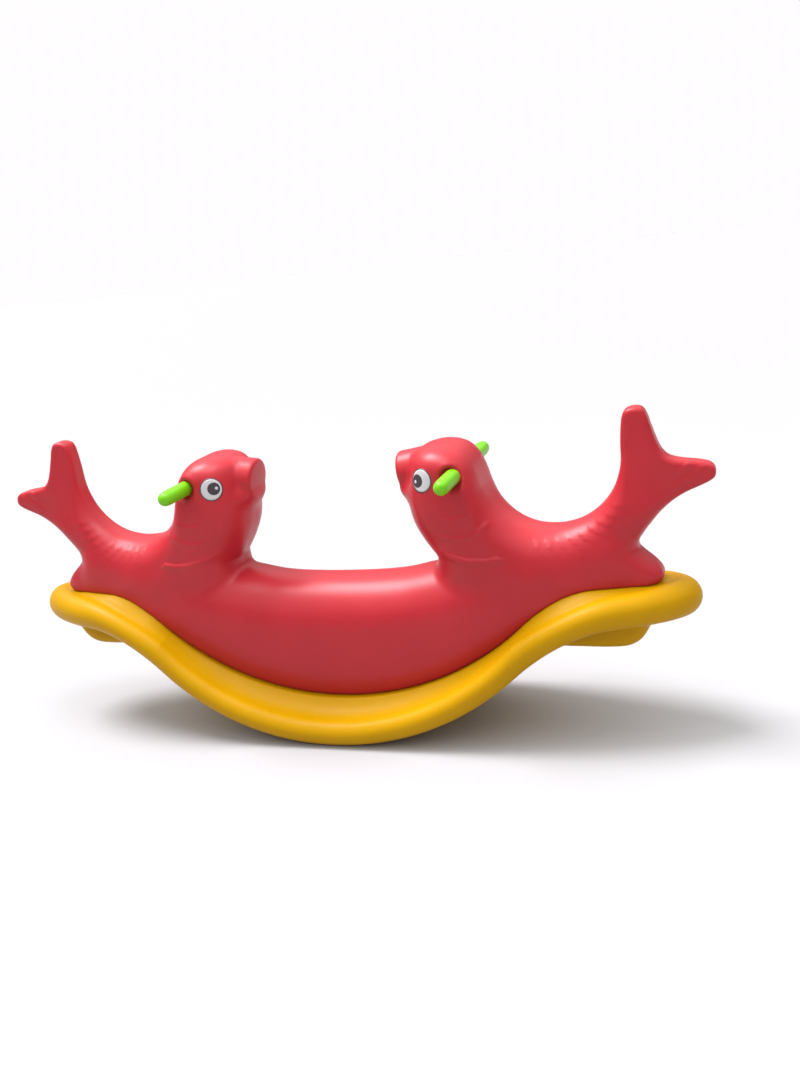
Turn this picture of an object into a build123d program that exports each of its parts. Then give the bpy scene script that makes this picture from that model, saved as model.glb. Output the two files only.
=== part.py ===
from build123d import *
import math
import os

# Children's rocking seesaw: two fish face each other over a low centre seat, on a
# boat-shaped rocker. Millimetres, +Z up, +X along the length, origin on the floor
# under the middle. The object is the same on both sides of X = 0 and of Y = 0, so
# most features are drawn on the +X side and mirrored.

# --- overall -------------------------------------------------------------------
LENGTH = 1200.0            # between the tips of the outward tail lobes
WALL = 4.0                 # wall of both hollow mouldings
FIT = 0.3                  # clearance of a part in its moulded hole
FAR = 700.0                # further out than anything on the object

# --- rocker base ---------------------------------------------------------------
BASE_HALF_LENGTH = 575.0
BASE_HALF_WIDTH = 141.0
PLAN_POWER = 2.3           # fullness of the plan outline, 2 is an ellipse
ROCKER_RADIUS = 456.0      # floor arc, from the middle to ROCKER_REACH
ROCKER_REACH = 300.0
RIM_DEPTH = 40.0           # from the top of the rim roll to its underside, at the middle
END_RISE = 10.0            # the rim is this much deeper at the ends
END_RISE_FROM = 340.0
END_RISE_TO = 500.0
RIM_ROLL = RIM_DEPTH / 2   # radius of the rim roll
END_UNDERSIDE = 179.0      # height of the level ends of the rim
VALLEY_DROP = 6.0          # the channel inside the rim roll
VALLEY_INSET = 34.0
RUNNER_WIDTH = 44.0        # the base stands on two runners under its sides
RUNNER_HEIGHT = 6.0
RUNNER_REACH = 320.0

# --- tip-over bumper under each end ----------------------------------------------
BUMPER_OUTLINE = [(338.0, 184.0), (356.0, 141.0), (448.0, 141.0), (477.0, 153.0), (494.0, 184.0)]
BUMPER_HALF_WIDTH = 55.0
BUMPER_CORNER = 14.0

# --- seam between the fish body and the plinth it stands on ------------------------
SEAM_LOW = 61.0            # height of the seam at the middle
SEAM_RADIUS = 446.0
SEAM_REACH = 310.0
SEAM_LEVEL = 234.5         # height of the seam under the tails
PLINTH_HALF_LENGTH = 514.0
PLINTH_HALF_WIDTH = 73.0
PLINTH_POWER = 3.0

# --- fish body -----------------------------------------------------------------
BODY_END = 520.0           # rear flare of the body, over the end of the base
HULL_TUCK = 32.0           # the hull sections run on below the seam by this much
HULL_CORNER = 0.42         # corner radius as a share of the smaller side
# barrel and shoulders: x, half width, top height
HULL_STATIONS = [
    (0.0, 80.0, 251.0),
    (90.0, 80.0, 252.5),
    (165.0, 81.0, 264.0),
    (225.0, 80.0, 277.0),
    (285.0, 74.0, 290.0),
    (348.0, 62.0, 304.0),
    (420.0, 49.0, 301.0),
    (480.0, 39.0, 287.0),
    (BODY_END, 28.0, 252.0),
]
# neck and head: height, front x, back x, half width
HEAD_STATIONS = [
    (220.0, 182.0, 334.0, 68.0),
    (250.0, 178.0, 336.0, 72.0),
    (280.0, 176.0, 334.0, 74.0),
    (310.0, 161.0, 326.0, 75.0),
    (340.0, 146.0, 306.0, 77.0),
    (370.0, 141.0, 280.0, 78.0),
    (400.0, 138.0, 263.0, 79.0),
    (426.0, 139.0, 254.0, 77.0),
    (446.0, 146.0, 242.0, 64.0),
    (459.0, 165.0, 224.0, 38.0),
    (464.0, 184.0, 204.0, 15.0),
]
HEAD_CORNER = 0.92         # corner radius as a share of the smaller half side
# saddle and tail: back point and belly point, both (x, z), and half width
SADDLE_STATIONS = [
    ((285.0, 334.0), (285.0, 220.0), 68.0),
    ((348.0, 323.0), (352.0, 220.0), 60.0),
    ((406.0, 334.0), (440.0, 251.0), 49.0),
    ((447.0, 370.0), (489.0, 304.0), 37.0),
    ((461.0, 396.0), (516.0, 338.0), 30.0),
    ((472.0, 418.0), (531.0, 359.0), 24.0),
]
UPPER_LOBE_STATIONS = [
    ((456.0, 385.0), (518.0, 385.0), 27.0),
    ((467.0, 435.0), (522.0, 435.0), 20.0),
    ((470.0, 473.0), (511.0, 473.0), 15.0),
    ((474.0, 493.0), (504.0, 493.0), 12.0),
    ((482.0, 499.5), (495.0, 499.5), 6.0),
]
OUTER_LOBE_STATIONS = [
    ((502.0, 428.0), (504.0, 330.0), 25.0),
    ((531.0, 424.0), (533.0, 356.0), 19.0),
    ((562.0, 416.0), (565.0, 374.0), 14.0),
    ((588.0, 411.0), (590.0, 385.0), 11.0),
    ((LENGTH / 2, 402.0), (LENGTH / 2, 393.0), 5.0),
]

# --- mouth -----------------------------------------------------------------------
LIP_X = 137.0
LIP_Z = 414.0
LIP_RADIUS = 33.0
LIP_DEPTH = 30.0
LIP_TILT = 8.0             # degrees that the mouth looks upward
LIP_EDGE = 8.0
MOUTH_RADIUS = 21.0        # shallow round dish in the lip
MOUTH_DEPTH = 5.0

# --- eyes ------------------------------------------------------------------------
EYE_X = 176.0
EYE_Z = 419.0
EYE_FACE = 73.0            # middle of the flat pad for the decal, from the mid-plane
EYE_TURN = 20.0            # degrees that the pad faces forward
EYE_PAD_RADIUS = 20.0
DECAL_RADIUS = 18.5
DECAL_THICKNESS = 0.8

# --- handles ---------------------------------------------------------------------
GRIP_X = 225.0
GRIP_Z = 422.0
GRIP_ROOT = 28.0           # inner end, from the mid-plane
GRIP_SEAT = 62.0           # floor of the round recess in the head
GRIP_END = 144.0           # free end
GRIP_RADIUS = 12.0
GRIP_STRAIGHT_END = 121.0  # the free stub is straight to here, then narrows a little
GRIP_TIP_RADIUS = 11.2
COLLAR_RADIUS = 15.0
COLLAR_WIDTH = 3.0
RECESS_RADIUS = 18.0
ROD_RADIUS = 4.0           # M8 stud that ties the two grips of a head together
ROD_HALF_LENGTH = 46.0
GRIP_INSERT_RADIUS = 6.5
GRIP_INSERT_LENGTH = 22.0

# --- bolts between base and body ---------------------------------------------------
BOLT_STATIONS = [-410.0, -120.0, 120.0, 410.0]
BOLT_RADIUS = 4.0
BOLT_CLEARANCE = 0.5
BOLT_HEAD_RADIUS = 7.5     # across the corners
BOLT_HEAD_HEIGHT = 5.3
WASHER_RADIUS = 9.0
WASHER_THICKNESS = 1.6
WELL_RADIUS = 12.0         # open from below, for the socket wrench
WELL_FLOOR = 10.0          # plastic that the bolt clamps, under the seam
BODY_INSERT_RADIUS = 7.0
BODY_INSERT_LENGTH = 24.0
BODY_INSERT_DEPTH = 3.0    # the insert sits this far above the seam
BODY_BOSS_RADIUS = 14.0
BODY_BOSS_HEIGHT = 34.0

# --- vent plugs, one in each hollow moulding -----------------------------------------
PLUG_RADIUS = 7.0
PLUG_LENGTH = 9.0
PLUG_FLANGE_RADIUS = 10.0
PLUG_FLANGE = 2.0
BASE_PLUG_X = 528.0


# --- curves ------------------------------------------------------------------------
def rocker_curve(x, radius, low, reach, level):
    """Height at x of an arc up to x = reach, eased from there to a level end."""
    x = abs(x)
    arc = low + radius - math.sqrt(radius ** 2 - min(x, reach) ** 2)
    if x <= reach:
        return arc
    slope = reach / math.sqrt(radius ** 2 - reach ** 2)
    run = 2.0 * (level - arc) / slope
    share = min((x - reach) / run, 1.0)
    return arc + slope * run * (share - share ** 2 / 2.0)


def underside(x):
    """Height of the runners: what rolls on the floor, then the level ends."""
    return rocker_curve(x, ROCKER_RADIUS, 0.0, ROCKER_REACH, END_UNDERSIDE)


def seam(x):
    """Height of the seam between the fish body and the plinth."""
    return rocker_curve(x, SEAM_RADIUS, SEAM_LOW, SEAM_REACH, SEAM_LEVEL)


def rim_height(x):
    """Depth of the rim at x, measured upright: more where the rim slopes."""
    slope = (underside(x + 1) - underside(x - 1)) / 2
    share = (abs(x) - END_RISE_FROM) / (END_RISE_TO - END_RISE_FROM)
    return (RIM_DEPTH + END_RISE * min(max(share, 0.0), 1.0)) * math.hypot(1, slope)


def valley(x):
    """Height of the channel between the rim roll and the plinth."""
    return underside(x) + rim_height(x) - VALLEY_DROP


def runner_roof(x):
    """Height of the recess between the two runners."""
    return underside(x) + RUNNER_HEIGHT


# --- helpers -------------------------------------------------------------------------
def below(height_at, shift):
    """Everything below a curve height_at(x) + shift."""
    steps = 40
    xs = [-FAR + 2 * FAR * i / steps for i in range(steps + 1)]
    with BuildSketch(Plane.XZ) as outline:
        with BuildLine():
            top = Spline(*[(x, height_at(x) + shift) for x in xs])
            Polyline(top @ 1, (FAR, -FAR), (-FAR, -FAR), top @ 0)
        make_face()
    return extrude(outline.sketch, FAR, both=True)


def plan_prism(half_length, half_width, power):
    """Upright prism over a full oval, wide enough in Z for the whole object."""
    steps = 10
    quarter = []
    for i in range(steps + 1):
        along = math.sin(math.pi / 2 * i / steps)
        across = max(1.0 - along ** power, 0.0) ** 0.5
        quarter.append((half_length * along, half_width * across))
    nose = [(x, -y) for x, y in quarter] + list(reversed(quarter))[1:]
    with BuildSketch() as outline:
        with BuildLine():
            right = Spline(*nose, tangents=((1, 0), (-1, 0)))
            mirror(right, about=Plane.YZ)
        make_face()
    return extrude(outline.sketch, FAR, both=True)


def mirrored(shape, plane):
    """A shape and its mirror image."""
    return shape + mirror(shape, plane)


def add_all(shape, others):
    """Join shapes one after another."""
    for other in others:
        shape += other
    return shape


def bar_y(x, z, radius, start, stop):
    """Round bar along Y."""
    return Pos(x, (start + stop) / 2, z) * Rot(90, 0, 0) * Cylinder(radius, stop - start)


def bar_z(x, radius, low, high):
    """Round bar along Z, on the mid-plane."""
    return Pos(x, 0, (low + high) / 2) * Cylinder(radius, high - low)


def oval(back, belly, half_width, inset):
    """Ellipse through a back point and a belly point, square to the mid-plane."""
    chord = Vector(back[0] - belly[0], 0, back[1] - belly[1])
    centre = Vector((back[0] + belly[0]) / 2, 0, (back[1] + belly[1]) / 2)
    plane = Plane(origin=centre, x_dir=chord, z_dir=chord.cross(Vector(0, 1, 0)))
    return plane * Ellipse(max(chord.length / 2 - inset, 1.0), max(half_width - inset, 1.0))


def through_ovals(stations, inset):
    """Solid through a row of (back, belly, half width) ellipses."""
    last = len(stations) - 1
    faces = []
    for i, (back, belly, half_width) in enumerate(stations):
        face = oval(back, belly, half_width, inset)
        if i == last:
            before = oval(*stations[i - 1], inset)
            face = Pos((before.center() - face.center()).normalized() * inset) * face
        faces.append(face)
    return loft(faces)


def rounded_slab(x, middle, width, height, corner):
    """Rounded rectangle square to X, centred at a height."""
    plane = Plane(origin=(x, 0, middle), x_dir=(0, 1, 0), z_dir=(1, 0, 0))
    return plane * RectangleRounded(width, height, corner)


# --- fish body -------------------------------------------------------------------------
# Each function takes an inset: 0 gives the outer skin, WALL gives the space inside.
def hull(inset):
    """Barrel seat, shoulders and the rear flares."""
    stations = [(-x, w, top) for x, w, top in reversed(HULL_STATIONS[1:])] + HULL_STATIONS
    faces = []
    for x, half_width, top in stations:
        place = math.copysign(min(abs(x), BODY_END - inset), x)
        low = seam(x) - HULL_TUCK
        width = 2 * (half_width - inset)
        height = top - inset - low
        corner = HULL_CORNER * min(width, height)
        faces.append(rounded_slab(place, low + height / 2, width, height, corner))
    return loft(faces)


def head(inset):
    """Neck and head of the fish on the +X side."""
    top = HEAD_STATIONS[-1][0]
    faces = []
    for z, front, back, half_width in HEAD_STATIONS:
        plane = Plane(origin=((front + back) / 2, 0, min(z, top - inset + 0.2 * (z - top))))
        half_length = (back - front) / 2
        corner = HEAD_CORNER * (min(half_length, half_width) - inset)
        outline = RectangleRounded(2 * (half_length - inset), 2 * (half_width - inset), corner)
        faces.append(plane * outline)
    return loft(faces)


def lip(inset):
    """Thick round lip with a shallow dish for the mouth."""
    tilt = math.radians(LIP_TILT)
    outward = (-math.cos(tilt), 0, math.sin(tilt))
    plane = Plane(origin=(LIP_X, 0, LIP_Z), x_dir=(0, 1, 0), z_dir=outward)
    disc = Cylinder(LIP_RADIUS - inset, LIP_DEPTH - 2 * inset)
    disc = fillet(disc.edges().group_by(Axis.Z)[-1], LIP_EDGE)
    ball = (MOUTH_RADIUS ** 2 + MOUTH_DEPTH ** 2) / (2 * MOUTH_DEPTH)
    dish = Pos(0, 0, LIP_DEPTH / 2 - MOUTH_DEPTH + ball) * Sphere(ball + inset)
    return plane * (disc - dish)


def fish(inset):
    """Head, lip, saddle and forked tail of the fish on the +X side."""
    lobes = [SADDLE_STATIONS, UPPER_LOBE_STATIONS, OUTER_LOBE_STATIONS]
    shape = add_all(head(inset), [through_ovals(rows, inset) for rows in lobes])
    return shape + lip(inset)


def body_solid(inset):
    """Both fish and the hull, cut off at the seam."""
    one = fish(inset)
    shape = add_all(hull(inset), [one, mirror(one, Plane.YZ)])
    return shape - below(seam, inset)


def eye_bar(radius, start, stop):
    """Round bar square to the eye pad of the +X fish on the -Y cheek, from the pad's face."""
    bar = Rot(90, 0, 0) * Pos(0, 0, (start + stop) / 2) * Cylinder(radius, stop - start)
    return Pos(EYE_X, -EYE_FACE, EYE_Z) * Rot(0, 0, -EYE_TURN) * bar


def eye_bars(radius, start, stop):
    """The same bar on both cheeks."""
    return mirrored(eye_bar(radius, start, stop), Plane.XZ)


def grip_bar(radius, start, stop):
    """Round bar on the handle axis of the fish on the +X side, on both cheeks."""
    return mirrored(bar_y(GRIP_X, GRIP_Z, radius, start, stop), Plane.XZ)


def body_space():
    """Space inside the fish body, less its tunnels, seats, eye pads and bosses."""
    kept = grip_bar(GRIP_RADIUS + FIT + WALL, 0.0, GRIP_END)
    kept += grip_bar(RECESS_RADIUS + WALL, GRIP_SEAT - WALL, GRIP_END)
    kept += eye_bars(EYE_PAD_RADIUS, -WALL, EYE_FACE)
    space = body_solid(WALL) - kept - mirror(kept, Plane.YZ)
    for x in BOLT_STATIONS:
        space -= bar_z(x, BODY_BOSS_RADIUS, seam(x) - HULL_TUCK, seam(x) + BODY_BOSS_HEIGHT)
    return space


def fish_body():
    """Hollow double-fish moulding."""
    pads = eye_bars(EYE_PAD_RADIUS, -HULL_TUCK, 0.0)
    shape = add_all(body_solid(0.0), [pads, mirror(pads, Plane.YZ)]) - body_space()
    removed = grip_bar(GRIP_RADIUS + FIT, 0.0, GRIP_END)
    removed += grip_bar(RECESS_RADIUS, GRIP_SEAT, GRIP_END)
    removed += eye_bars(EYE_PAD_RADIUS, 0.0, EYE_FACE)
    shape = shape - removed - mirror(removed, Plane.YZ)
    for x in BOLT_STATIONS:
        shape -= bar_z(x, BODY_INSERT_RADIUS, seam(x) - HULL_TUCK, insert_top(x))
    return shape - bar_z(0.0, PLUG_RADIUS, SEAM_LOW - PLUG_LENGTH, SEAM_LOW + PLUG_LENGTH)


# --- rocker base -------------------------------------------------------------------------
def base_slab(inset):
    """Boat-shaped slab with rolled edges."""
    half = [0, 75, 150, 220, 280, 330, 380, 440, 500, 540, 562, 573]
    faces = []
    for x in [-x for x in reversed(half[1:])] + half:
        share = abs(x) / BASE_HALF_LENGTH
        half_width = BASE_HALF_WIDTH * (1.0 - share ** PLAN_POWER) ** 0.5
        middle = underside(x) + rim_height(x) / 2
        height = rim_height(x)
        from_end = BASE_HALF_LENGTH - abs(x)
        if from_end < RIM_ROLL:
            height = 2 * math.sqrt(RIM_ROLL ** 2 - (RIM_ROLL - from_end) ** 2)
        place = x * (BASE_HALF_LENGTH - inset) / BASE_HALF_LENGTH
        height -= 2 * inset
        width = max(2 * (half_width - inset), 1.2 * height)
        faces.append(rounded_slab(place, middle, width, height, 0.48 * height))
    return loft(faces)


def bumper(inset):
    """Blocks under both ends that stop the seesaw tipping over."""
    with BuildSketch(Plane.XZ) as side:
        with BuildLine():
            Polyline(*BUMPER_OUTLINE, close=True)
        make_face()
        if inset:
            offset(amount=-inset)
    block = extrude(side.sketch, BUMPER_HALF_WIDTH - inset, both=True)
    block = fillet(block.edges().group_by(Axis.Z)[0].filter_by(Axis.X), BUMPER_CORNER - inset)
    return block


def base_solid(inset):
    """Slab with its channel and runners, plinth and bumpers."""
    deck = plan_prism(
        BASE_HALF_LENGTH - VALLEY_INSET + inset, BASE_HALF_WIDTH - VALLEY_INSET + inset, PLAN_POWER
    )
    belly = plan_prism(RUNNER_REACH + inset, BASE_HALF_WIDTH - RUNNER_WIDTH + inset, PLAN_POWER)
    plinth = plan_prism(PLINTH_HALF_LENGTH - inset, PLINTH_HALF_WIDTH - inset, PLINTH_POWER)
    plinth = (plinth & below(seam, -inset)) - below(underside, RIM_DEPTH / 2)
    shape = base_slab(inset) - (deck - below(valley, -inset))
    shape -= belly & below(runner_roof, inset)
    shape += plinth
    return add_all(shape, [bumper(inset), mirror(bumper(inset), Plane.YZ)])


def rocker_base():
    """Hollow rocker base with four bolt wells."""
    space = base_solid(WALL)
    for x in BOLT_STATIONS:
        space -= bar_z(x, WELL_RADIUS + WALL, -FAR, well_roof(x) + WALL)
        space -= bar_z(x, WELL_RADIUS + WALL, well_roof(x), FAR)
    shape = base_solid(0.0) - space
    for x in BOLT_STATIONS:
        shape -= bar_z(x, WELL_RADIUS, -FAR, well_roof(x))
        shape -= bar_z(x, BOLT_RADIUS + BOLT_CLEARANCE, -FAR, FAR)
    shape -= bar_z(BASE_PLUG_X, PLUG_FLANGE_RADIUS + FIT, 0.0, END_UNDERSIDE)
    return shape - bar_z(BASE_PLUG_X, PLUG_RADIUS, 0.0, END_UNDERSIDE + PLUG_LENGTH)


# --- handles --------------------------------------------------------------------------
def handle_grip():
    """Round-ended grip with a collar and a spigot, drawn along +Z."""
    tip_start = GRIP_END - GRIP_TIP_RADIUS
    with BuildSketch(Plane.XZ) as half_section:
        with BuildLine():
            corner = Polyline(
                (0, GRIP_ROOT),
                (GRIP_RADIUS, GRIP_ROOT),
                (GRIP_RADIUS, GRIP_SEAT),
                (COLLAR_RADIUS, GRIP_SEAT),
                (COLLAR_RADIUS, GRIP_SEAT + COLLAR_WIDTH),
                (GRIP_RADIUS, GRIP_SEAT + COLLAR_WIDTH),
                (GRIP_RADIUS, GRIP_STRAIGHT_END),
                (GRIP_TIP_RADIUS, tip_start),
            )
            RadiusArc(corner @ 1, (0, GRIP_END), -GRIP_TIP_RADIUS)
            Line((0, GRIP_END), (0, GRIP_ROOT))
        make_face()
    grip = revolve(half_section.sketch, Axis.Z)
    socket = Cylinder(GRIP_INSERT_RADIUS, 2 * GRIP_INSERT_LENGTH)
    return grip - Pos(0, 0, GRIP_ROOT) * socket


def grip_insert():
    """Threaded steel insert moulded into the root of a grip, drawn along +Z."""
    sleeve = Cylinder(GRIP_INSERT_RADIUS, GRIP_INSERT_LENGTH) - Cylinder(ROD_RADIUS, FAR)
    return Pos(0, 0, GRIP_ROOT + GRIP_INSERT_LENGTH / 2) * sleeve


def at_handle(shape, end, side):
    """Place a shape drawn along +Z on a handle axis: end is -1 or 1 in X, side in Y."""
    return Pos(end * GRIP_X, 0, GRIP_Z) * Rot(-90 * side, 0, 0) * shape


# --- fasteners ----------------------------------------------------------------------------
def well_roof(x):
    """Height of the face in a bolt well that the washer bears on."""
    return seam(x) - WELL_FLOOR


def insert_top(x):
    """Height of the upper end of a threaded insert in the fish body."""
    return seam(x) + BODY_INSERT_DEPTH + BODY_INSERT_LENGTH


def base_bolt(x):
    """Hexagon bolt, head down in its well."""
    bearing = well_roof(x) - WASHER_THICKNESS
    hexagon = extrude(RegularPolygon(BOLT_HEAD_RADIUS, 6), BOLT_HEAD_HEIGHT)
    head_part = Pos(x, 0, bearing - BOLT_HEAD_HEIGHT) * hexagon
    return head_part + bar_z(x, BOLT_RADIUS, bearing, insert_top(x) - 4)


def base_washer(x):
    """Flat washer between a bolt head and the roof of its well."""
    low = well_roof(x) - WASHER_THICKNESS
    return bar_z(x, WASHER_RADIUS, low, well_roof(x)) - bar_z(x, BOLT_RADIUS, 0, FAR)


def body_insert(x):
    """Threaded insert in a boss of the fish body."""
    low = seam(x) + BODY_INSERT_DEPTH
    return bar_z(x, BODY_INSERT_RADIUS, low, insert_top(x)) - bar_z(x, BOLT_RADIUS, 0, FAR)


def base_vent_plug():
    """Flanged push-in plug in the underside of one end."""
    low = END_UNDERSIDE
    bung = bar_z(BASE_PLUG_X, PLUG_RADIUS, low, low + PLUG_LENGTH)
    return bung + bar_z(BASE_PLUG_X, PLUG_FLANGE_RADIUS, low - PLUG_FLANGE, low)


def eye_decal():
    """Round decal on the eye pad of the +X fish, on the -Y cheek."""
    return eye_bar(DECAL_RADIUS, 0.0, DECAL_THICKNESS)


# --- nodes ------------------------------------------------------------------------------
nodes = {
    "fish_body": fish_body(),
    "rocker_base": rocker_base(),
    "body_vent_plug": bar_z(0.0, PLUG_RADIUS, SEAM_LOW + FIT, SEAM_LOW + PLUG_LENGTH),
    "base_vent_plug": base_vent_plug(),
    "base_bolts": Compound(children=[base_bolt(x) for x in BOLT_STATIONS]),
    "base_bolt_washers": Compound(children=[base_washer(x) for x in BOLT_STATIONS]),
    "body_threaded_inserts": Compound(children=[body_insert(x) for x in BOLT_STATIONS]),
}
inserts = []
for end, end_name in ((-1, "left"), (1, "right")):
    nodes[f"handle_tie_rod_{end_name}"] = bar_y(
        end * GRIP_X, GRIP_Z, ROD_RADIUS, -ROD_HALF_LENGTH, ROD_HALF_LENGTH
    )
    for side, side_name in ((-1, "front"), (1, "back")):
        nodes[f"handle_grip_{end_name}_{side_name}"] = at_handle(handle_grip(), end, side)
        inserts.append(at_handle(grip_insert(), end, side))
        decal = eye_decal() if side < 0 else mirror(eye_decal(), Plane.XZ)
        nodes[f"eye_decal_{end_name}_{side_name}"] = decal if end > 0 else mirror(decal, Plane.YZ)
nodes["handle_threaded_inserts"] = Compound(children=inserts)

os.makedirs("parts", exist_ok=True)
for name, shape in nodes.items():
    export_step(shape, f"parts/{name}.step")
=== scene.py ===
import bpy
import math
import numpy as np
import openvdb
from mathutils import Matrix, Vector
from mathutils.bvhtree import BVHTree


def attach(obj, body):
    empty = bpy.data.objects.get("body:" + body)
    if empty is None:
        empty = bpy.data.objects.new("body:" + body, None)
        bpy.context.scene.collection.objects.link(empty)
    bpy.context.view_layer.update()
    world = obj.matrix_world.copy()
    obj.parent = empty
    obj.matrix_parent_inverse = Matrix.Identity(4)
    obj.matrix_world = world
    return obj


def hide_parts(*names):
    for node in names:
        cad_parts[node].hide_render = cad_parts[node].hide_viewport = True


# Children's rocking seesaw. The red double-fish body and the yellow rocker base are
# smooth moulded shapes: each is drawn as a signed distance field, in millimetres, and
# meshed from it. Both are the same on either side of X = 0 and of Y = 0, so a field
# is worked out for one quarter and mirrored.

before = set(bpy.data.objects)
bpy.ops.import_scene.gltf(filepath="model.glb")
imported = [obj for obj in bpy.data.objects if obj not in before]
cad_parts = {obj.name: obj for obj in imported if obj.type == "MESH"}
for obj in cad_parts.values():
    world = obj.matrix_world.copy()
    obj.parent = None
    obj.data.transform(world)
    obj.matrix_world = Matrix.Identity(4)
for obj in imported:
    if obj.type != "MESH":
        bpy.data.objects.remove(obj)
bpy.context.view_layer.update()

MM = 0.001

# --- sizes, in millimetres, as in the CAD ------------------------------------------
BASE_HALF_LENGTH = 575.0
BASE_HALF_WIDTH = 141.0
PLAN_POWER = 2.3
ROCKER_RADIUS = 456.0
ROCKER_REACH = 300.0
END_UNDERSIDE = 179.0
RIM_DEPTH = 40.0
END_RISE, END_RISE_FROM, END_RISE_RUN = 13.0, 340.0, 160.0
END_LIFT, END_LIFT_FROM, END_LIFT_RUN = 5.0, 470.0, 90.0
SEAM_LOW = 61.0
SEAM_RADIUS = 455.0
SEAM_REACH = 310.0
SEAM_LEVEL = 234.5
PLINTH_HALF_LENGTH = 517.0
PLINTH_HALF_WIDTH = 79.0
PLINTH_POWER = 3.0
GRIP_X, GRIP_Z = 225.0, 422.0
EYE_X, EYE_Z = 176.0, 419.0
BOLT_STATIONS = (120.0, 410.0)
WELL_RADIUS = 12.0
WELL_FLOOR = 10.0
VOXEL = 2.0    # spacing of the distance fields


# --- curves ------------------------------------------------------------------------
def rocker_curve(x, radius, low, reach, level):
    """Height at x of an arc up to x = reach, eased from there to a level end."""
    x = np.abs(x)
    arc = low + radius - np.sqrt(radius ** 2 - np.minimum(x, reach) ** 2)
    slope = reach / math.sqrt(radius ** 2 - reach ** 2)
    arc_end = low + radius - math.sqrt(radius ** 2 - reach ** 2)
    run = 2.0 * (level - arc_end) / slope
    share = np.clip((x - reach) / run, 0.0, 1.0)
    return arc + slope * run * (share - share ** 2 / 2.0)


def underside(x):
    """Height of the runners that roll on the floor."""
    return rocker_curve(x, ROCKER_RADIUS, 0.0, ROCKER_REACH, END_UNDERSIDE)


def seam(x):
    """Height of the seam between body and base."""
    return rocker_curve(x, SEAM_RADIUS, SEAM_LOW, SEAM_REACH, SEAM_LEVEL)


def ease(t):
    """Smooth step from 0 to 1."""
    t = np.clip(t, 0.0, 1.0)
    return t * t * (3.0 - 2.0 * t)


def smooth_outline(points, steps=8):
    """Closed curve through (x, z) points; a point with a third value is a sharp corner."""
    count = len(points)
    xy = np.array([p[:2] for p in points], float)
    sharp = [len(p) > 2 for p in points]
    curve = []
    for i in range(count):
        a, b = xy[i], xy[(i + 1) % count]
        before = a if sharp[i] else xy[i - 1]
        after = b if sharp[(i + 1) % count] else xy[(i + 2) % count]
        for step in range(steps):
            t = step / steps
            curve.append(0.5 * (
                2 * a + (b - before) * t
                + (2 * before - 5 * a + 4 * b - after) * t ** 2
                + (3 * a - before - 3 * b + after) * t ** 3
            ))
    return np.array(curve)


def oval_outline(half_length, half_width, power, steps=240):
    """Full oval in plan."""
    turns = np.linspace(0.0, 2.0 * math.pi, steps, endpoint=False)
    along, across = np.sin(turns), np.cos(turns)
    y = np.sign(across) * np.sqrt(np.clip(1.0 - np.abs(along) ** power, 0.0, 1.0))
    return np.stack([along * half_length, y * half_width], axis=1)


# --- distance fields ---------------------------------------------------------------
SWELL_FROM, SWELL_RUN = 2.0, 12.0    # depth where the true depth gives way to the smooth one


def inside_depth(outline, first, second, soft=False):
    """Depth inside a closed outline over a plane grid, negative outside.

    With soft it's true only near the outline and swells smoothly over the middle.
    """
    nearest = np.full(first.shape, np.inf)
    inside = np.zeros(first.shape, bool)
    pull = np.zeros(first.shape)
    for a, b in zip(outline, np.roll(outline, -1, axis=0)):
        length = math.hypot(*(b - a))
        ux, uz = (b - a) / length
        along = (first - a[0]) * ux + (second - a[1]) * uz
        off = (second - a[1]) * ux - (first - a[0]) * uz
        beyond = along - np.clip(along, 0.0, length)
        nearest = np.minimum(nearest, off ** 2 + beyond ** 2)
        if soft:
            flat = np.maximum(off ** 2, 1.0)
            end = (length - along) / np.sqrt(flat + (length - along) ** 2)
            pull += (end + along / np.sqrt(flat + along ** 2)) / flat
        if a[1] != b[1]:
            crosses = (a[1] > second) != (b[1] > second)
            inside ^= crosses & (first < a[0] + (second - a[1]) * ux / uz)
    depth = np.where(inside, 1.0, -1.0) * np.sqrt(nearest)
    if not soft:
        return depth
    swollen = np.sqrt(2.0 / np.maximum(pull, 1e-9))
    return depth + (swollen - depth) * ease((depth - SWELL_FROM) / SWELL_RUN)


def spread_values(controls, first, second, reach):
    """Smooth plane field through rough control values: rows of (x, z, value, ...)."""
    columns = len(controls[0]) - 2
    total = np.zeros(first.shape)
    sums = [np.zeros(first.shape) for _ in range(columns)]
    for x, z, *values in controls:
        weight = np.exp(-((first - x) ** 2 + (second - z) ** 2) / (2 * reach ** 2)) + 1e-9
        total += weight
        for i, value in enumerate(values):
            sums[i] += weight * value
    return [s / total for s in sums]


def puffed(depth, half_width, flat, rounding, y):
    """Solid over a side outline: half_width thick, its edges rounded over a depth."""
    across = (half_width - flat)[:, None, :]
    rounding = rounding[:, None, :]
    u = np.clip(1.0 - depth[:, None, :] / rounding, 0.0, None)
    v = np.clip(np.abs(y)[None, :, None] - flat[:, None, :], 0.0, None) / across
    radius = np.sqrt(u * u + v * v)
    slope = np.sqrt((u / rounding) ** 2 + (v / across) ** 2)
    limit = -np.minimum(rounding, across)
    return np.where(slope > 1e-6, (radius - 1.0) * radius / np.maximum(slope, 1e-6), limit)


def join(a, b, soft):
    """Union of two fields with a fillet."""
    h = np.clip(0.5 + 0.5 * (b - a) / soft, 0.0, 1.0)
    return b + (a - b) * h - soft * h * (1.0 - h)


def cut(a, b, soft):
    """Field a without field b, the new edge rounded."""
    return -join(-a, b, soft)


def grid_axes(low, high):
    """Sample places along X, Y and Z between two corners."""
    return [np.arange(a, b + VOXEL / 2, VOXEL) for a, b in zip(low, high)]


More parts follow.
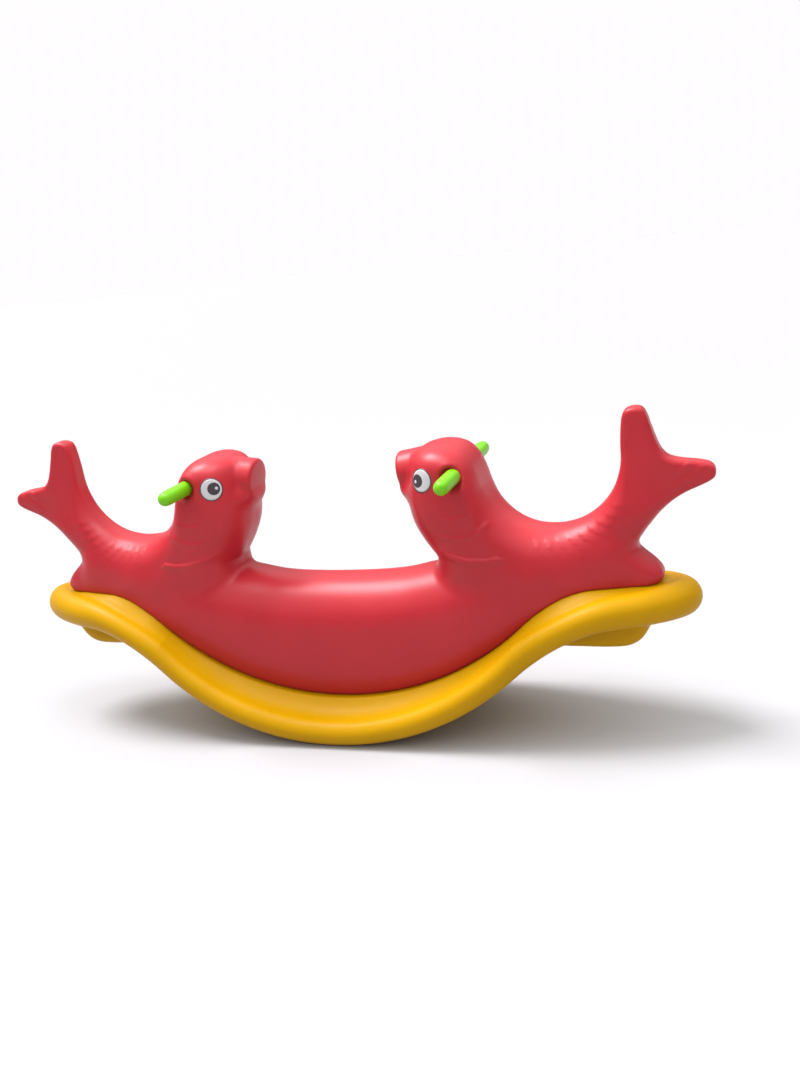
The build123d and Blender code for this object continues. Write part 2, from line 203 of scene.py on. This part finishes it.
def unfold(quarter):
    """Mirror a field from X >= 0, Y >= 0 to all four quarters."""
    half = np.concatenate([quarter[:0:-1], quarter], axis=0)
    return np.concatenate([half[:, :0:-1], half], axis=1)


def mesh_field(name, quarter, axes):
    """Mesh the zero surface of a mirrored field as a new object, in metres."""
    band = 3 * VOXEL
    whole = np.clip(unfold(quarter), -band, band).astype(np.float32)
    grid = openvdb.FloatGrid(band)
    grid.copyFromArray(whole)
    points, quads = grid.convertToQuads()
    corner = np.array([-axes[0][-1], -axes[1][-1], axes[2][0]])
    points = (points * VOXEL + corner) * MM
    return new_object(name, points.tolist(), quads.tolist())


def new_object(name, points, faces):
    """Smooth-shaded mesh object in the scene."""
    mesh = bpy.data.meshes.new(name)
    mesh.from_pydata(points, [], faces)
    mesh.update()
    mesh.shade_smooth()
    made = bpy.data.objects.new(name, mesh)
    bpy.context.scene.collection.objects.link(made)
    return made


# --- fish body ---------------------------------------------------------------------
# Side outline of one fish: from the neck notch up the throat and head, down the nape,
# along the saddle, round the two tail lobes, then back inside the hull. (x, z)
FISH_OUTLINE = [
    (175, 287, "corner"), (158, 313), (145, 341), (139, 368), (137, 393), (142, 416), (146, 434),
    (153, 449), (164, 458), (176, 462), (194, 464), (215, 461), (232, 452), (245, 436),
    (253, 415), (260, 391), (271, 369), (288, 350), (308, 336), (330, 327), (351, 324),
    (373, 325), (397, 331), (418, 342), (436, 357), (450, 375), (460, 396), (466, 420),
    (467, 450), (469, 476), (472, 490), (477, 497), (488, 500), (499, 498), (506, 488),
    (511, 472), (518, 450), (525, 434), (535, 424), (552, 419), (575, 416), (591, 412),
    (599, 404), (599, 393), (591, 386), (576, 379), (557, 371), (539, 360), (522, 345),
    (506, 326), (493, 309), (484, 295), (480, 287, "corner"), (481, 262), (462, 232),
    (372, 205), (300, 198), (231, 198), (188, 216), (173, 249),
]
# x, z, half width, flat half width of the outline's edge, depth of the rounding
FISH_WIDTHS = [
    (135, 425, 62, 8, 38), (155, 415, 70, 8, 42), (176, 418, 78, 10, 40), (225, 420, 75, 26, 22),
    (205, 445, 75, 20, 30), (180, 370, 81, 8, 56), (245, 380, 78, 28, 20), (267, 352, 78, 14, 36),
    (200, 310, 81, 8, 66), (270, 325, 76, 12, 48), (305, 318, 70, 9, 52), (190, 250, 80, 8, 70),
    (300, 250, 78, 8, 66), (340, 290, 67, 8, 56),
    (350, 240, 68, 8, 60), (390, 290, 57, 6, 52), (430, 300, 47, 5, 42), (442, 345, 41, 4, 36),
    (475, 330, 35, 4, 30), (490, 365, 28, 7, 20), (488, 400, 23, 11, 12), (490, 440, 19, 10, 9),
    (489, 480, 16, 9, 7), (532, 390, 20, 11, 10), (565, 395, 16, 10, 8), (592, 399, 13, 8, 6),
]
HULL_OUTLINE = [
    (-130, 258), (-60, 252), (0, 251), (60, 252), (111, 256), (157, 265), (188, 272),
    (231, 280), (301, 296), (381, 310), (439, 312), (466, 304), (480, 288, "corner"), (498, 275),
    (512, 262), (520, 250), (520, 240), (512, 228), (495, 206), (440, 190), (372, 173),
    (313, 141), (251, 99), (170, 59), (80, 35), (0, 28), (-80, 35), (-130, 46),
]
HULL_WIDTHS = [
    (0, 200, 80, 6, 80), (0, 100, 81, 8, 80), (100, 210, 80, 6, 78), (100, 110, 82, 8, 80),
    (180, 210, 83, 8, 76), (200, 130, 83, 8, 80), (260, 200, 81, 8, 68), (330, 225, 71, 8, 54),
    (400, 245, 57, 8, 42), (450, 250, 46, 8, 34), (485, 255, 37, 8, 24), (512, 243, 27, 8, 16),
]
FISH_SPREAD = 22.0
HULL_SPREAD = 36.0
NECK_FILLET, TAIL_FILLET = 10.0, 8.0    # the tail's comes on top of the neck's
TAIL_FROM, TAIL_RUN = 400.0, 60.0
SEAM_ROUNDING = 2.5
SEAM_STEEPNESS = 1.2                    # turns a height over the seam into a distance
LIP_X, LIP_Z = 144.0, 421.0
LIP_HALF_DEPTH = 20.0
LIP_HALF_HEIGHT = 33.0
LIP_HALF_WIDTH = 35.0
LIP_TILT = -9.0
LIP_EDGE = 5.0
LIP_DOME = 2.0
LIP_FILLET, CHIN_FILLET = 6.5, 26.0     # the chin's comes on top of the lip's
# dish in the cheek round each grip
DISH_FLOOR = 66.0
DISH_RADIUS = 13.5
DISH_FLARE = 0.8
DISH_ROUNDING = 4.0


def lip_field(x, y, z):
    """Thick round lip with a slightly domed front face."""
    turn = math.radians(LIP_TILT)
    forward = (LIP_X - x) * math.cos(turn) + (z - LIP_Z) * math.sin(turn)
    upward = (z - LIP_Z) * math.cos(turn) - (LIP_X - x) * math.sin(turn)
    radial = np.sqrt(upward ** 2 + (y * LIP_HALF_HEIGHT / LIP_HALF_WIDTH) ** 2)
    front = forward - LIP_HALF_DEPTH + LIP_DOME * (radial / LIP_HALF_HEIGHT) ** 2
    a = radial - (LIP_HALF_HEIGHT - LIP_EDGE)
    b = np.maximum(front, -LIP_HALF_DEPTH - forward) + LIP_EDGE
    corner = np.hypot(np.maximum(a, 0.0), np.maximum(b, 0.0))
    return np.minimum(np.maximum(a, b), 0.0) + corner - LIP_EDGE


def body_field(axes):
    """The whole red moulding, for one quarter."""
    x, y, z = axes
    plane_x, plane_z = np.meshgrid(x, z, indexing="ij")
    cx, cy, cz = x[:, None, None], y[None, :, None], z[None, None, :]
    depth = inside_depth(smooth_outline(FISH_OUTLINE), plane_x, plane_z, soft=True)
    fish = puffed(depth, *spread_values(FISH_WIDTHS, plane_x, plane_z, FISH_SPREAD), y)
    lip_fillet = LIP_FILLET + CHIN_FILLET * ease((LIP_Z - cz) / LIP_HALF_HEIGHT)
    fish = join(fish, lip_field(cx, cy, cz), lip_fillet)
    depth = inside_depth(smooth_outline(HULL_OUTLINE), plane_x, plane_z, soft=True)
    hull = puffed(depth, *spread_values(HULL_WIDTHS, plane_x, plane_z, HULL_SPREAD), y)
    shape = join(fish, hull, NECK_FILLET + TAIL_FILLET * ease((cx - TAIL_FROM) / TAIL_RUN))
    dish_edge = DISH_RADIUS + DISH_FLARE * (cy - DISH_FLOOR)
    dish = np.maximum(np.hypot(cx - GRIP_X, cz - GRIP_Z) - dish_edge, DISH_FLOOR - cy)
    shape = cut(shape, dish, DISH_ROUNDING)
    below_seam = (cz - seam(cx)) / SEAM_STEEPNESS + 0.0 * cy
    return cut(shape, below_seam, SEAM_ROUNDING)


# --- moulded details on the body -------------------------------------------------------
# Raised arcs on the flanks, two on the throat and one round the grip: centre x, centre z,
# radius, middle angle, half span, height. An arc's outer side fades over ARC_TAIL.
NECK_ARCS = [
    (223, 401, 42, 278, 40, 1.2), (223, 401, 71, 280, 42, 1.5), (225, 422, 19, 90, 120, 0.8),
]
ARC_WIDTH, ARC_TAIL = 2.6, 6.0
ARC_FADE = 16.0
SCALE_CENTRE = (362, 436)
SCALE_COUNT = 9
SCALE_STEP = 7.8
SCALE_RADIUS = 6.5
SCALE_LEAN = 35.0
SCALE_HALF_SPAN = 70.0
# Distance of each row of scales from the centre, its first angle, its height.
SCALE_ROWS = [(131, 258.0, 0.6), (141, 262.0, 0.3)]
# Raised line from the neck notch to the tip of the side fin. (x, z)
FIN_LINE = [(180, 317), (193, 310), (213, 301), (238, 294), (262, 292), (283, 294)]
FIN_WIDTH, FIN_TAIL, FIN_HEIGHT = 3.0, 8.0, 3.4
# Raised rays on the outward tail lobe.
TAIL_RAYS = [
    [(545, 399), (562, 414)], [(532, 375), (550, 389), (580, 408)], [(544, 380), (583, 401)],
]
RAY_WIDTH, RAY_TAIL, RAY_HEIGHT = 2.2, 4.0, 1.1
LINE_SWELL = 3.0                         # a line is at full height after 1/3 of its length
FLANK_FROM, FLANK_RUN = 0.35, 0.4        # how much a flank faces sideways to carry details


def arc_ridge(x, z, arc):
    """Height of one raised arc over points of the side view."""
    centre_x, centre_z, radius, middle, half_span, height = arc
    dx, dz = x - centre_x, z - centre_z
    turned = (np.degrees(np.arctan2(dz, dx)) - middle + 180.0) % 360.0 - 180.0
    off = np.hypot(dx, dz) - radius
    profile = np.exp(-(off / np.where(off > 0.0, ARC_TAIL, ARC_WIDTH)) ** 2)
    return height * profile * ease((half_span - np.abs(turned)) / ARC_FADE)


def line_ridge(x, z, points, width, tail, height):
    """Height of a line raised through side-view points, fading over tail on its low side."""
    best = np.zeros(x.shape)
    points = np.array(points, float)
    lengths = np.hypot(*np.diff(points, axis=0).T)
    done, whole = 0.0, lengths.sum()
    for a, b, length in zip(points[:-1], points[1:], lengths):
        ux, uz = (b - a) / length
        along = np.clip((x - a[0]) * ux + (z - a[1]) * uz, 0.0, length)
        gap = np.hypot(x - a[0] - along * ux, z - a[1] - along * uz)
        low = (z - a[1]) * ux < (x - a[0]) * uz
        swell = ease(LINE_SWELL * (done + along) / whole)
        best = np.maximum(best, np.exp(-(gap / np.where(low, tail, width)) ** 2) * swell)
        done += length
    return height * best


def scale_arcs():
    """Rows of fish scales that follow the curve of the saddle."""
    arcs = []
    for reach, first, height in SCALE_ROWS:
        for i in range(SCALE_COUNT):
            degrees = first + SCALE_STEP * i
            turn = math.radians(degrees)
            centre_x = SCALE_CENTRE[0] + reach * math.cos(turn)
            centre_z = SCALE_CENTRE[1] + reach * math.sin(turn)
            middle = degrees + 90.0 + SCALE_LEAN
            arcs.append((centre_x, centre_z, SCALE_RADIUS, middle, SCALE_HALF_SPAN, height))
    return arcs


def details(x, z):
    """Height of everything embossed on the flanks, over side-view points."""
    raised = line_ridge(x, z, FIN_LINE, FIN_WIDTH, FIN_TAIL, FIN_HEIGHT)
    for ray in TAIL_RAYS:
        height = line_ridge(x, z, ray, RAY_WIDTH, RAY_TAIL, RAY_HEIGHT)
        raised = np.maximum(raised, height)
    for arc in NECK_ARCS + scale_arcs():
        raised = np.maximum(raised, arc_ridge(x, z, arc))
    return raised


def emboss(moulding):
    """Push the flank surface out along its normals where details are raised."""
    mesh = moulding.data
    count = len(mesh.vertices)
    points, normals = np.empty(count * 3), np.empty(count * 3)
    mesh.vertices.foreach_get("co", points)
    mesh.vertices.foreach_get("normal", normals)
    points, normals = points.reshape(-1, 3), normals.reshape(-1, 3)
    facing = ease((np.abs(normals[:, 1]) - FLANK_FROM) / FLANK_RUN)
    raised = details(np.abs(points[:, 0]) / MM, points[:, 2] / MM) * facing * MM
    points += normals * raised[:, None]
    mesh.vertices.foreach_set("co", points.ravel())
    mesh.update()


# --- rocker base -------------------------------------------------------------------
BUMPER_OUTLINE = [
    (330, 190), (340, 160), (356, 142), (400, 139), (450, 139), (474, 144), (491, 158),
    (503, 184), (498, 205), (400, 208), (330, 208),
]
BUMPER_HALF_WIDTH = 50.0
BUMPER_ROUNDING = 16.0
COVE = 36.0
CREST_EASE = 16.0
END_DIP = 6.0
BELLY_DEPTH, BELLY_FROM, BELLY_RUN = 7.0, 28.0, 20.0
BUMPER_FILLET = 10.0
WELL_ROUNDING = 2.0


def base_field(axes):
    """The whole yellow moulding, for one quarter."""
    x, y, z = axes
    cx, cy, cz = x[:, None, None], y[None, :, None], z[None, None, :]
    plan_x, plan_y = np.meshgrid(x, y, indexing="ij")
    rim = inside_depth(oval_outline(BASE_HALF_LENGTH, BASE_HALF_WIDTH, PLAN_POWER), plan_x, plan_y)
    foot = -inside_depth(
        oval_outline(PLINTH_HALF_LENGTH, PLINTH_HALF_WIDTH, PLINTH_POWER), plan_x, plan_y
    )
    rim, foot = rim[:, :, None], foot[:, :, None]
    slope = (underside(x + 1.0) - underside(x - 1.0)) / 2.0
    steep = np.sqrt(1.0 + slope ** 2)[:, None, None]
    height = (cz - underside(cx)) / steep
    plinth_top = (seam(cx) - underside(cx)) / steep
    toward_end = ease((cx - END_RISE_FROM) / END_RISE_RUN)
    lift = END_LIFT * ease((cx - END_LIFT_FROM) / END_LIFT_RUN)
    crest = RIM_DEPTH + END_RISE * toward_end + lift
    bead = crest / 2
    roll = np.hypot(rim - bead, height - bead) - bead
    cove = np.clip(1.0 - foot / COVE, 0.0, 1.0)
    rise = (plinth_top - crest) * cove ** 2 - END_DIP * toward_end * (1.0 - cove)
    deck = crest + rise * ease((rim - bead) / CREST_EASE)
    belly = BELLY_DEPTH * ease((rim - BELLY_FROM) / BELLY_RUN)
    slab = np.maximum(height - deck, belly - height)
    shape = np.where(rim < bead, roll, slab)
    plane_x, plane_z = np.meshgrid(x, z, indexing="ij")
    depth = inside_depth(smooth_outline(BUMPER_OUTLINE), plane_x, plane_z)
    same = np.ones(plane_x.shape)
    flat = BUMPER_HALF_WIDTH - BUMPER_ROUNDING
    bumper = puffed(depth, BUMPER_HALF_WIDTH * same, flat * same, BUMPER_ROUNDING * same, y)
    shape = join(shape, bumper, BUMPER_FILLET)
    for bolt_x in BOLT_STATIONS:
        roof = float(seam(bolt_x)) - WELL_FLOOR
        well = np.maximum(np.hypot(cx - bolt_x, cy) - WELL_RADIUS, cz - roof)
        shape = cut(shape, well, WELL_ROUNDING)
    return shape


# --- materials ---------------------------------------------------------------------
CLOUD_SCALE = 9.0             # broad mottling of the plastic
GRAIN_SCALE = 260.0           # orange peel
GRAIN_STRENGTH, GRAIN_DEPTH = 0.12, 0.0006


def new_material(name):
    """New node material with its nodes and links."""
    material = bpy.data.materials.new(name)
    material.use_nodes = True
    return material, material.node_tree.nodes, material.node_tree.links


def moulded_plastic(name, colour, deep, roughness, specular):
    """Satin moulded polyethylene: slightly mottled colour, faint orange peel."""
    material, nodes, links = new_material(name)
    shader = nodes["Principled BSDF"]
    shader.inputs["Specular IOR Level"].default_value = specular
    place = nodes.new("ShaderNodeTexCoord")
    cloud = nodes.new("ShaderNodeTexNoise")
    cloud.inputs["Scale"].default_value = CLOUD_SCALE
    cloud.inputs["Detail"].default_value = 4.0
    ramp = nodes.new("ShaderNodeValToRGB")
    ramp.color_ramp.elements[0].position = 0.3
    ramp.color_ramp.elements[0].color = (*deep, 1)
    ramp.color_ramp.elements[1].position = 0.7
    ramp.color_ramp.elements[1].color = (*colour, 1)
    links.new(place.outputs["Object"], cloud.inputs["Vector"])
    links.new(cloud.outputs["Fac"], ramp.inputs["Fac"])
    links.new(ramp.outputs["Color"], shader.inputs["Base Color"])
    grain = nodes.new("ShaderNodeTexNoise")
    grain.inputs["Scale"].default_value = GRAIN_SCALE
    grain.inputs["Detail"].default_value = 3.0
    links.new(place.outputs["Object"], grain.inputs["Vector"])
    bump = nodes.new("ShaderNodeBump")
    bump.inputs["Strength"].default_value = GRAIN_STRENGTH
    bump.inputs["Distance"].default_value = GRAIN_DEPTH
    links.new(grain.outputs["Fac"], bump.inputs["Height"])
    links.new(bump.outputs["Normal"], shader.inputs["Normal"])
    sheen = nodes.new("ShaderNodeMapRange")
    sheen.inputs["To Min"].default_value = roughness - 0.04
    sheen.inputs["To Max"].default_value = roughness + 0.05
    links.new(cloud.outputs["Fac"], sheen.inputs["Value"])
    links.new(sheen.outputs["Result"], shader.inputs["Roughness"])
    return material


def brushed_steel():
    """Zinc-plated steel with fine streaks."""
    material, nodes, links = new_material("steel")
    shader = nodes["Principled BSDF"]
    shader.inputs["Base Color"].default_value = (0.60, 0.60, 0.58, 1)
    shader.inputs["Metallic"].default_value = 1.0
    place = nodes.new("ShaderNodeTexCoord")
    grain = nodes.new("ShaderNodeTexNoise")
    grain.inputs["Scale"].default_value = 400.0
    sheen = nodes.new("ShaderNodeMapRange")
    sheen.inputs["To Min"].default_value = 0.25
    sheen.inputs["To Max"].default_value = 0.45
    links.new(place.outputs["Object"], grain.inputs["Vector"])
    links.new(grain.outputs["Fac"], sheen.inputs["Value"])
    links.new(sheen.outputs["Result"], shader.inputs["Roughness"])
    return material


# --- eye decals ----------------------------------------------------------------------
EYE_RADIUS = 18.8
EYE_WHITE = 16.9
PUPIL_RADIUS = 10.2
GLINT_RADIUS = 2.5
# The hand-placed decals sit a little differently on the two heads.
PUPIL_SHIFT = {-1: (-3.6, 1.0), 1: (-6.0, -0.6)}
GLINT_SHIFT = {-1: (-7.2, 1.4), 1: (-9.2, -2.2)}
DECAL_LAYER = 0.14
DECAL_SINK = 0.3              # the edge of each disc turns down into the skin by this
DECAL_RINGS, DECAL_SPOKES = 9, 64


def printed_film(name, colour, roughness):
    """Thin printed vinyl, a little uneven in gloss."""
    material, nodes, links = new_material(name)
    shader = nodes["Principled BSDF"]
    shader.inputs["Base Color"].default_value = (*colour, 1)
    place = nodes.new("ShaderNodeTexCoord")
    cloud = nodes.new("ShaderNodeTexNoise")
    cloud.inputs["Scale"].default_value = 60.0
    sheen = nodes.new("ShaderNodeMapRange")
    sheen.inputs["To Min"].default_value = roughness - 0.05
    sheen.inputs["To Max"].default_value = roughness + 0.05
    links.new(place.outputs["Object"], cloud.inputs["Vector"])
    links.new(cloud.outputs["Fac"], sheen.inputs["Value"])
    links.new(sheen.outputs["Result"], shader.inputs["Roughness"])
    return material


def on_cheek(tree, end, side, dx, dz):
    """Point and outward normal of the cheek at an offset from the eye centre."""
    start = Vector((end * (EYE_X + dx) * MM, side * 0.2, (EYE_Z + dz) * MM))
    point, normal, _, _ = tree.ray_cast(start, Vector((0, -side, 0)))
    return point, normal


def eye_disc(tree, end, side, centre, radius, lift, points, faces):
    """Add one thin disc that follows the cheek, with its edge turned down to the skin."""
    rings, spokes = DECAL_RINGS, DECAL_SPOKES
    first = len(points)
    centre_point, centre_normal = on_cheek(tree, end, side, *centre)
    across = Vector((0, 0, 1)).cross(centre_normal).normalized() * end * -side
    rise = centre_normal.cross(across).normalized()
    rise = rise if rise.z > 0 else -rise
    points.append(centre_point + centre_normal * lift * MM)
    for ring in range(1, rings + 2):
        reach = radius * min(ring, rings) / rings * MM
        for spoke in range(spokes):
            turn = 2 * math.pi * spoke / spokes
            aim = across * math.cos(turn) * reach + rise * math.sin(turn) * reach
            source = centre_point + aim + centre_normal * 0.02
            point, normal, _, _ = tree.ray_cast(source, -centre_normal)
            height = lift if ring <= rings else -DECAL_SINK
            points.append(point + normal * height * MM)
    for spoke in range(spokes):
        after = (spoke + 1) % spokes
        faces.append((first, first + 1 + spoke, first + 1 + after))
        for ring in range(rings):
            low = first + 1 + ring * spokes
            high = low + spokes
            faces.append((low + spoke, high + spoke, high + after, low + after))


def make_eye(tree, end, side, name, materials):
    """Printed eye: dark outline, white, pupil and glint, as stacked thin discs."""
    points, faces, slots = [], [], []
    discs = [
        ((0, 0), EYE_RADIUS, 0),
        ((0, 0), EYE_WHITE, 1),
        (PUPIL_SHIFT[end], PUPIL_RADIUS, 0),
        (GLINT_SHIFT[end], GLINT_RADIUS, 1),
    ]
    for layer, (centre, radius, slot) in enumerate(discs):
        before = len(faces)
        eye_disc(tree, end, side, centre, radius, DECAL_LAYER * (layer + 1), points, faces)
        slots += [slot] * (len(faces) - before)
    if end * side < 0:
        faces = [tuple(reversed(f)) for f in faces]
    eye = new_object(name + "_film", [tuple(p) for p in points], faces)
    for material in materials:
        eye.data.materials.append(material)
    eye.data.polygons.foreach_set("material_index", slots)
    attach(eye, "root")
    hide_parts(name)


# --- handle grips --------------------------------------------------------------------
GRIP_ROOT, GRIP_END = 30.0, 144.0
GRIP_TIP_RADIUS = 11.2
GRIP_TIP_START = GRIP_END - GRIP_TIP_RADIUS
# radius and distance from the mid-plane, root to tip
GRIP_PROFILE = [
    (12.0, GRIP_ROOT), (12.0, 60.0), (12.0, 90.0), (12.0, 121.0), (11.8, 127.0),
    (GRIP_TIP_RADIUS, GRIP_TIP_START),
]
GRIP_TIP_STEPS = 12
GRIP_TIP_FULLNESS = 0.9       # 1 is a true half ball, less is blunter
GRIP_SPOKES = 72


def grip_profile():
    """Profile of a grip from its hidden root to just short of the pole of its round end."""
    rows = list(GRIP_PROFILE)
    for step in range(1, GRIP_TIP_STEPS):
        turn = math.radians(90.0 * step / GRIP_TIP_STEPS)
        radius = GRIP_TIP_RADIUS * math.cos(turn) ** GRIP_TIP_FULLNESS
        rows.append((radius, GRIP_TIP_START + GRIP_TIP_RADIUS * math.sin(turn)))
    return rows


def make_grip(end, side, name, material):
    """Turned green grip."""
    spokes = GRIP_SPOKES
    points, faces = [(end * GRIP_X * MM, side * GRIP_ROOT * MM, GRIP_Z * MM)], []
    rows = grip_profile()
    for radius, reach in rows:
        for spoke in range(spokes):
            turn = 2 * math.pi * spoke / spokes
            points.append((
                (end * GRIP_X + radius * math.cos(turn)) * MM,
                side * reach * MM,
                (GRIP_Z + radius * math.sin(turn)) * MM,
            ))
    points.append((end * GRIP_X * MM, side * GRIP_END * MM, GRIP_Z * MM))
    last = len(points) - 1
    for spoke in range(spokes):
        after = (spoke + 1) % spokes
        faces.append((0, 1 + after, 1 + spoke))
        for row in range(len(rows) - 1):
            low = 1 + row * spokes
            high = low + spokes
            faces.append((low + spoke, low + after, high + after, high + spoke))
        top = 1 + (len(rows) - 1) * spokes
        faces.append((top + spoke, top + after, last))
    if side > 0:
        faces = [tuple(reversed(f)) for f in faces]
    grip = new_object(name + "_skin", points, faces)
    grip.data.materials.append(material)
    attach(grip, "root")
    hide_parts(name)


# --- fasteners and plugs, which stay as the CAD has them --------------------------------
STEEL_NODES = (
    "base_bolts", "base_bolt_washers", "body_threaded_inserts",
    "handle_threaded_inserts", "handle_tie_rod_left", "handle_tie_rod_right",
)
PLUG_NODES = ("body_vent_plug", "base_vent_plug")


def finish_nodes(names, material):
    """Give kept CAD nodes their detailed material."""
    for name in names:
        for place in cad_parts[name].material_slots:
            place.material = material


# --- body and base -------------------------------------------------------------------
def make_body(material):
    """Red moulding in place of its CAD node."""
    axes = grid_axes((0, 0, 44), (612, 96, 508))
    body = mesh_field("fish_body_moulding", body_field(axes), axes)
    emboss(body)
    body.data.materials.append(material)
    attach(body, "root")
    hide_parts("fish_body")
    return body


def make_base(material):
    """Yellow moulding in place of its CAD node."""
    axes = grid_axes((0, 0, -8), (584, 152, 256))
    base = mesh_field("rocker_base_moulding", base_field(axes), axes)
    base.data.materials.append(material)
    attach(base, "root")
    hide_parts("rocker_base")


# --- camera and light ----------------------------------------------------------------
CAMERA_TURN, CAMERA_RISE, CAMERA_ROLL = 19.2, 16.18, -6.84
CAMERA_DISTANCE = 1.713
CAMERA_TARGET = (0.1068, 0.0, 0.2964)
LENS = 34.98
LAMP_COLOUR = (0.96, 0.94, 1.0)
SKY_LOW, SKY_HIGH = 0.2, 1.9  # light from the horizon and from overhead
FLOOR_SIZE = 60.0
FLOOR_COLOUR = (0.40, 0.40, 0.40, 1)


def place_camera():
    """Camera at the angle of the reference view, rolled a little."""
    turn, rise, roll = (math.radians(a) for a in (CAMERA_TURN, CAMERA_RISE, CAMERA_ROLL))
    back = Vector((
        math.sin(turn) * math.cos(rise),
        -math.cos(turn) * math.cos(rise),
        math.sin(rise),
    ))
    right = (-back).cross(Vector((0, 0, 1))).normalized()
    up = right.cross(-back)
    level = Matrix((right, up, back)).transposed().to_4x4()
    data = bpy.data.cameras.new("camera")
    data.lens = LENS
    camera = bpy.data.objects.new("camera", data)
    bpy.context.scene.collection.objects.link(camera)
    spot = Matrix.Translation(Vector(CAMERA_TARGET) + back * CAMERA_DISTANCE)
    camera.matrix_world = spot @ level @ Matrix.Rotation(roll, 4, "Z")
    bpy.context.scene.camera = camera


def surround():
    """Surround that gives more light from overhead, seen as a white backdrop."""
    world = bpy.data.worlds.new("surround")
    world.use_nodes = True
    nodes, links = world.node_tree.nodes, world.node_tree.links
    nodes["Background"].inputs["Color"].default_value = (1, 0.985, 1, 1)
    place = nodes.new("ShaderNodeTexCoord")
    parts = nodes.new("ShaderNodeSeparateXYZ")
    sky = nodes.new("ShaderNodeMapRange")
    sky.interpolation_type = "SMOOTHSTEP"
    sky.inputs["To Min"].default_value = SKY_LOW
    sky.inputs["To Max"].default_value = SKY_HIGH
    rays = nodes.new("ShaderNodeLightPath")
    seen = nodes.new("ShaderNodeMix")
    seen.inputs["B"].default_value = 1.0
    links.new(place.outputs["Generated"], parts.inputs["Vector"])
    links.new(parts.outputs["Z"], sky.inputs["Value"])
    links.new(rays.outputs["Is Camera Ray"], seen.inputs["Factor"])
    links.new(sky.outputs["Result"], seen.inputs["A"])
    links.new(seen.outputs["Result"], nodes["Background"].inputs["Strength"])
    bpy.context.scene.world = world


def hang(light, place, aim):
    """Put a light at a place, shining along a direction."""
    lamp = bpy.data.objects.new(light.name, light)
    bpy.context.scene.collection.objects.link(lamp)
    lamp.location = place
    lamp.rotation_euler = Vector(aim).to_track_quat("-Z", "Y").to_euler()


def studio():
    """Pale floor under a broad soft overhead light and a softbox nearer the middle."""
    surround()
    bpy.ops.mesh.primitive_plane_add(size=FLOOR_SIZE, location=(0, 0, 0))
    floor = bpy.context.object
    floor.name = "floor"
    material, nodes, _ = new_material("pale_floor")
    nodes["Principled BSDF"].inputs["Base Color"].default_value = FLOOR_COLOUR
    nodes["Principled BSDF"].inputs["Roughness"].default_value = 0.9
    floor.data.materials.append(material)
    overhead = bpy.data.lights.new("overhead", "SUN")
    overhead.energy = 3.8
    overhead.angle = math.radians(26)
    overhead.color = LAMP_COLOUR
    hang(overhead, (0, 0, 1), (0.45, -0.10, -0.88))
    softbox = bpy.data.lights.new("softbox", "AREA")
    softbox.size = 0.7
    softbox.energy = 9
    softbox.color = LAMP_COLOUR
    hang(softbox, (0.0, -0.2, 1.6), (0, 0.1, -1))
    bpy.context.scene.view_settings.view_transform = "Standard"


place_camera()
studio()

red = moulded_plastic("red_plastic", (0.44, 0.018, 0.027), (0.40, 0.015, 0.023), 0.36, 0.3)
yellow = moulded_plastic("yellow_plastic", (0.50, 0.265, 0.0), (0.46, 0.24, 0.0), 0.40, 0.1)
green = moulded_plastic("green_plastic", (0.155, 0.51, 0.003), (0.14, 0.47, 0.003), 0.36, 0.3)
dark = printed_film("eye_black", (0.035, 0.03, 0.035), 0.45)
white = printed_film("eye_white", (0.50, 0.49, 0.495), 0.45)
steel = brushed_steel()
plug = moulded_plastic("plug_plastic", (0.09, 0.09, 0.095), (0.07, 0.07, 0.075), 0.45, 0.4)

finish_nodes(STEEL_NODES, steel)
finish_nodes(PLUG_NODES, plug)

body = make_body(red)
make_base(yellow)
graph = bpy.context.evaluated_depsgraph_get()
cheeks = BVHTree.FromObject(body, graph)
for end, end_name in ((-1, "left"), (1, "right")):
    for side, side_name in ((-1, "front"), (1, "back")):
        make_grip(end, side, f"handle_grip_{end_name}_{side_name}", green)
        make_eye(cheeks, end, side, f"eye_decal_{end_name}_{side_name}", (dark, white))
